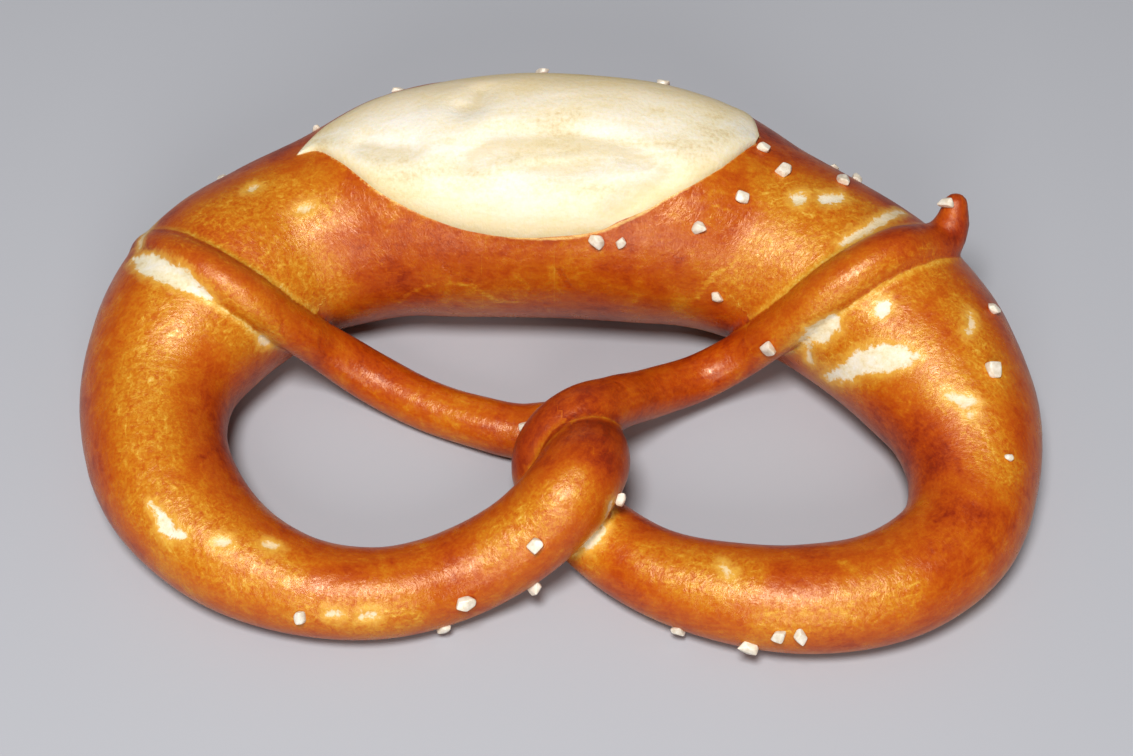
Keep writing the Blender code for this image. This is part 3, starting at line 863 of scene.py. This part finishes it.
class Shader:
    """A material or a node group being wired up."""

    def __init__(self, tree):
        self.tree = tree

    def node(self, kind, values=(), **settings):
        made = self.tree.nodes.new("ShaderNode" + kind)
        for name, value in settings.items():
            setattr(made, name, value)
        for socket, value in dict(values).items():
            into = made.inputs[socket]
            if isinstance(value, bpy.types.NodeSocket):
                self.tree.links.new(value, into)
            else:
                into.default_value = value
        return made

    def math(self, operation, first, second=0.0, third=0.0):
        values = {0: first, 1: second, 2: third}
        return self.node("Math", values, operation=operation).outputs[0]

    def mix(self, share, first, second):
        return self.node("Mix", {0: share, 6: first, 7: second}, data_type="RGBA").outputs[2]

    def step(self, value, low, high):
        made = self.node(
            "MapRange",
            {"Value": value, "From Min": low, "From Max": high, "To Min": 0.0, "To Max": 1.0},
            interpolation_type="SMOOTHSTEP",
        )
        return made.outputs[0]

    def noise(self, vector, scale, detail=3.0, roughness=0.5, distortion=0.0):
        values = {"Vector": vector, "Scale": scale, "Detail": detail, "Roughness": roughness}
        values["Distortion"] = distortion
        return self.node("TexNoise", values).outputs[0]

    def stretch(self, vector, scale):
        return self.node("Mapping", {"Vector": vector, "Scale": scale}).outputs[0]

    def attribute(self, name, output="Fac"):
        return self.node("Attribute", attribute_name=name).outputs[output]

    def ramp(self, value, stops):
        made = self.node("ValToRGB", {0: value})
        elements = made.color_ramp.elements
        elements[0].position, elements[0].color = stops[0]
        elements[1].position, elements[1].color = stops[-1]
        for position, colour in stops[1:-1]:
            elements.new(position).color = colour
        return made.outputs[0]


def new_material(name):
    material = bpy.data.materials.new(name)
    material.use_nodes = True
    tree = material.node_tree
    return material, Shader(tree), tree.nodes["Principled BSDF"]


def crumb_tone():
    """Node group: the cream of open crumb, streaked and speckled, with the height of its pores."""
    tree = bpy.data.node_groups.new("crumb tone", "ShaderNodeTree")
    tree.interface.new_socket("Vector", in_out="INPUT", socket_type="NodeSocketVector")
    tree.interface.new_socket("Streak scale", in_out="INPUT", socket_type="NodeSocketFloat")
    tree.interface.new_socket("Colour", in_out="OUTPUT", socket_type="NodeSocketColor")
    tree.interface.new_socket("Height", in_out="OUTPUT", socket_type="NodeSocketFloat")
    shader = Shader(tree)
    given = tree.nodes.new("NodeGroupInput")
    put = tree.nodes.new("NodeGroupOutput")
    long = shader.stretch(given.outputs["Vector"], (0.25, 1.0, 1.0))
    streaks = shader.noise(long, given.outputs["Streak scale"], 4.0, 0.6, 0.4)
    broad = shader.noise(given.outputs["Vector"], BROAD, 2.0)
    pores = shader.noise(given.outputs["Vector"], PORES, 3.0, 0.65)
    tone = shader.math("MULTIPLY_ADD", broad, 0.45, shader.math("MULTIPLY", streaks, 0.55))
    tone = shader.math("MULTIPLY_ADD", pores, 0.4, shader.math("SUBTRACT", tone, 0.2))
    tree.links.new(shader.ramp(tone, CREAM), put.inputs["Colour"])
    height = shader.math("MULTIPLY_ADD", streaks, 0.6, shader.math("MULTIPLY", pores, 0.6))
    tree.links.new(height, put.inputs["Height"])
    return tree


def crust_material(tone_group):
    material, shader, surface = new_material("lye crust")
    place = shader.node("TexCoord").outputs["Object"]
    dough = shader.attribute("dough", "Vector")
    torn = shader.attribute("torn")
    golden = shader.attribute("golden")
    dark_and_shade = shader.attribute("dark_and_shade")
    seam = shader.attribute("seam")
    lip = shader.attribute("lip")
    thread = shader.attribute("thread")
    crease = shader.attribute("crease")

    clouds = shader.noise(place, CLOUDS, 3.0, 0.55, 0.3)
    patches = shader.noise(place, PATCHES, 4.0, 0.65, 0.5)
    fibres = shader.noise(shader.stretch(dough, (0.45, 1.0, 0.0)), FIBRES, 4.0, 0.7, 0.6)
    specks = shader.noise(place, SPECKS, 2.0, 0.6)
    curls = shader.noise(place, CURLS, 2.0, 0.5, 1.5)
    base = shader.math("MULTIPLY_ADD", clouds, 0.6, -0.34)
    for layer, share in ((patches, 0.6), (fibres, 0.45), (specks, 0.2)):
        base = shader.math("MULTIPLY_ADD", layer, share, base)
    cover = shader.math("MULTIPLY_ADD", clouds, 0.8, shader.math("ADD", patches, fibres))
    lighter = shader.math("MULTIPLY", golden, shader.step(cover, 1.0, 1.6))
    base = shader.math("MULTIPLY_ADD", lighter, THIN_PLACES, base)
    mottle = shader.math("SUBTRACT", shader.noise(place, MOTTLE, 3.0, 0.65, 0.8), 0.5)
    mottled = shader.math("MULTIPLY_ADD", golden, -0.42, -0.15)
    base = shader.math("MULTIPLY_ADD", mottle, mottled, base)
    hair = shader.step(shader.math("ABSOLUTE", shader.math("SUBTRACT", curls, 0.5)), 0.035, 0.0)
    hair = shader.math("MULTIPLY", hair, shader.step(patches, 0.42, 0.6))
    fleck = shader.math("MAXIMUM", hair, shader.step(fibres, 0.52, 0.68))
    base = shader.math("MULTIPLY_ADD", fleck, shader.math("MULTIPLY", golden, FLECKS), base)
    # Darker bake on the dark strokes, with painted shade there and on the far side.
    base = shader.math("MULTIPLY_ADD", dark_and_shade, DARK_BENDS_AND_SHADE, base)
    beside = shader.math("MULTIPLY", shader.step(seam, 0.0, 0.3), shader.step(seam, 1.8, 0.4))
    base = shader.math("MULTIPLY_ADD", beside, BESIDE_SEAM, base)
    # Painted shade on the upper strand just above where it meets the strand below.
    seam_shade = shader.math("MULTIPLY", shader.step(seam, 0.1, -0.3), shader.step(seam, -1.8, -0.5))
    base = shader.math("MULTIPLY_ADD", seam_shade, SEAM_SHADE, base)
    frayed = shader.math("MULTIPLY_ADD", fibres, 1.6, -0.8)
    along_thread = shader.step(shader.math("ADD", thread, frayed), 0.4, -0.15)
    base = shader.math("MULTIPLY_ADD", along_thread, CRACKS, base)
    # Painted shade in the creases, with the scabs' own darker colour.
    in_crease = shader.step(shader.math("ADD", crease, frayed), 0.4, -0.1)
    base = shader.math("MULTIPLY_ADD", in_crease, SCABS_AND_CREASE_SHADE, base)
    colour = shader.ramp(base, BAKE)
    streaks = {"Vector": place, "Streak scale": CRUST_STREAKS}
    tone = shader.node("Group", streaks, node_tree=tone_group)
    ragged = shader.noise(place, RAGGED, 5.0, 0.7, 0.6)
    edge = shader.math("MULTIPLY_ADD", ragged, 3.6, shader.math("SUBTRACT", torn, 2.5))
    edge = shader.math("MULTIPLY_ADD", shader.noise(place, FINELY_RAGGED, 3.0, 0.7), 1.4, edge)
    ring = shader.step(edge, 2.2, 0.0)
    open_crumb = shader.step(edge, 0.4, -0.3)
    colour = shader.mix(shader.math("MULTIPLY", ring, 0.8), colour, GOLD_ROUND_TEARS)
    lip_edge = shader.step(shader.math("MULTIPLY_ADD", fibres, 0.4, lip), 0.7, 0.35)
    colour = shader.mix(shader.math("MULTIPLY", lip_edge, 0.9), colour, GOLD_LIP)
    bared = shader.math("MULTIPLY", open_crumb, shader.attribute("bare"))
    colour = shader.mix(bared, colour, tone.outputs["Colour"])
    shader.tree.links.new(colour, surface.inputs["Base Color"])

    rough = shader.math("MULTIPLY_ADD", patches, 0.2, 0.19)
    rough = shader.math("MULTIPLY_ADD", dark_and_shade, 0.1, rough)
    rough = shader.math("MULTIPLY_ADD", open_crumb, 0.3, rough)
    shader.tree.links.new(rough, surface.inputs["Roughness"])
    wrinkles = shader.noise(shader.stretch(dough, (1.3, 0.8, 0.0)), WRINKLES, 5.0, 0.7, 1.6)
    blisters = shader.noise(place, BLISTERS, 2.0, 0.5)
    height = shader.math("MULTIPLY_ADD", blisters, 0.4, wrinkles)
    height = shader.math("MULTIPLY", height, shader.math("MULTIPLY_ADD", golden, 0.25, 0.75))
    height = shader.math("MULTIPLY_ADD", in_crease, -0.5, height)
    bump = shader.node("Bump", {"Strength": 0.36, "Distance": BUMP_DEPTH, "Height": height})
    shader.tree.links.new(bump.outputs[0], surface.inputs["Normal"])
    surface.inputs["IOR"].default_value = 1.5
    surface.inputs["Specular IOR Level"].default_value = 0.7
    surface.inputs["Specular Tint"].default_value = (1.0, 0.95, 0.75, 1)
    return material


def crumb_material(tone_group):
    material, shader, surface = new_material("pale crumb")
    place = shader.node("TexCoord").outputs["Object"]
    streaks = {"Vector": place, "Streak scale": CRUMB_STREAKS}
    tone = shader.node("Group", streaks, node_tree=tone_group)
    wisps = shader.noise(shader.stretch(place, (0.3, 1.0, 1.0)), WISPS, 4.0, 0.65)
    fold = shader.math("SUBTRACT", shader.attribute("fold"), 2.5)
    fold = shader.math("MULTIPLY_ADD", wisps, 5.0, fold)
    # Painted shade along the crumb's folds.
    fold_shade = shader.math("MULTIPLY", shader.step(fold, 1.8, -0.8), 0.42)
    colour = shader.mix(fold_shade, tone.outputs["Colour"], FOLD_SHADE_CREAM)
    rim = shader.attribute("rim")
    by_front_lip = shader.math("MULTIPLY", shader.step(rim, 1.4, 2.0), 0.6)
    colour = shader.mix(by_front_lip, colour, FRONT_LIP_CREAM)
    by_back_lip = shader.math("MULTIPLY", shader.step(rim, 0.95, 0.3), 0.5)
    colour = shader.mix(by_back_lip, colour, BACK_LIP_TAN)
    colour = shader.mix(shader.step(rim, 0.1, 0.05), colour, BACK_RIM_BROWN)
    shader.tree.links.new(colour, surface.inputs["Base Color"])
    surface.inputs["Roughness"].default_value = 0.62
    surface.inputs["Subsurface Weight"].default_value = 0.15
    surface.inputs["Subsurface Radius"].default_value = (0.002, 0.0014, 0.0008)
    surface.inputs["Subsurface Scale"].default_value = 1.0
    relief = {"Strength": 0.45, "Distance": BUMP_DEPTH, "Height": tone.outputs["Height"]}
    bump = shader.node("Bump", relief)
    shader.tree.links.new(bump.outputs[0], surface.inputs["Normal"])
    return material


def salt_material():
    material, shader, surface = new_material("coarse salt")
    place = shader.node("TexCoord").outputs["Object"]
    colour = shader.ramp(shader.noise(place, SALT_CLOUDS, 3.0), SALT)
    shader.tree.links.new(colour, surface.inputs["Base Color"])
    surface.inputs["Roughness"].default_value = 0.35
    surface.inputs["Subsurface Weight"].default_value = 0.3
    surface.inputs["Subsurface Radius"].default_value = (0.001, 0.001, 0.001)
    surface.inputs["Subsurface Scale"].default_value = 1.0
    return material


def dress(piece, material):
    piece.data.materials.clear()
    piece.data.materials.append(material)


# The pretzel.

rows = route_rows()
whole = [*tip_rows(rows[0], rows[1])[::-1], *rows, *tip_rows(rows[-1], rows[-2])]
strand = Strand(rows)

crust = roll_dough(whole)
apply_modifier(crust, "REMESH", mode="VOXEL", voxel_size=VOXEL * MM)
apply_modifier(crust, "SMOOTH", factor=0.5, iterations=MELT_ROUNDS)
work_skin(crust, strand)
crust.data.shade_smooth()

crumb = swell_crumb(strand)
crumb.data.shade_smooth()

skin = BVHTree.FromObject(crust, bpy.context.evaluated_depsgraph_get())
draw = random.Random(GRAIN_SEED)
grains = [break_grain(skin, spot, length, draw) for *spot, length in GRAINS]
deselect()
for grain in grains:
    grain.select_set(True)
bpy.context.view_layer.objects.active = grains[0]
bpy.ops.object.join()
salt = bpy.context.object
salt.name = "salt_grains"

tone_group = crumb_tone()
dress(crust, crust_material(tone_group))
dress(crumb, crumb_material(tone_group))
dress(salt, salt_material())
for piece, slot in ((crust, "crust"), (crumb, "crumb"), (salt, "salt")):
    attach(piece, "root")
    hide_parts("pretzel")

# The studio: a plain pale floor, two soft lamps on the camera's side and a dim sky.

FLOOR_SIZE = 3.0
FLOOR_GREY = (0.48, 0.495, 0.54, 1)
LAMP_WHITE = (1.0, 0.98, 0.95)
SKY_WHITE = (1.0, 0.99, 0.97, 1)
SKY_STRENGTH = 0.14
LENS, SENSOR_WIDTH, NEAREST_SEEN = 77.97, 36, 0.01
VIEW_GAMMA = 0.86

deselect()
bpy.ops.mesh.primitive_plane_add(size=FLOOR_SIZE)
floor = bpy.context.object
floor.name = "floor"
floor_paint, _, floor_surface = new_material("plain floor")
floor_surface.inputs["Base Color"].default_value = FLOOR_GREY
floor_surface.inputs["Roughness"].default_value = 0.9
floor_surface.inputs["Specular IOR Level"].default_value = 0.2
dress(floor, floor_paint)

eye = Vector((1.36, -273.9, 333.2)) * MM
target = Vector((1.36, 5.68, 0)) * MM
look = (target - eye).to_track_quat("-Z", "Y").to_euler()
bpy.ops.object.camera_add(location=eye, rotation=look)
camera = bpy.context.object
camera.data.lens = LENS
camera.data.sensor_width = SENSOR_WIDTH
camera.data.clip_start = NEAREST_SEEN
bpy.context.scene.camera = camera


def soft_lamp(name, place, size, watts):
    """A round lamp that faces the pretzel, its place and size in millimetres."""
    spot = Vector(place) * MM
    turn = (-spot).to_track_quat("-Z", "Y").to_euler()
    bpy.ops.object.light_add(type="AREA", location=spot, rotation=turn)
    lamp = bpy.context.object
    lamp.name = name
    lamp.data.shape = "DISK"
    lamp.data.size = size * MM
    lamp.data.energy = watts
    lamp.data.color = LAMP_WHITE


soft_lamp("key", (-80, -350, 860), size=300, watts=8.2)
soft_lamp("front", (0, -840, 420), size=420, watts=2.9)
world = bpy.data.worlds.new("dim sky")
world.use_nodes = True
world.node_tree.nodes["Background"].inputs["Color"].default_value = SKY_WHITE
world.node_tree.nodes["Background"].inputs["Strength"].default_value = SKY_STRENGTH
bpy.context.scene.world = world
bpy.context.scene.view_settings.view_transform = "Standard"
bpy.context.scene.view_settings.gamma = VIEW_GAMMA
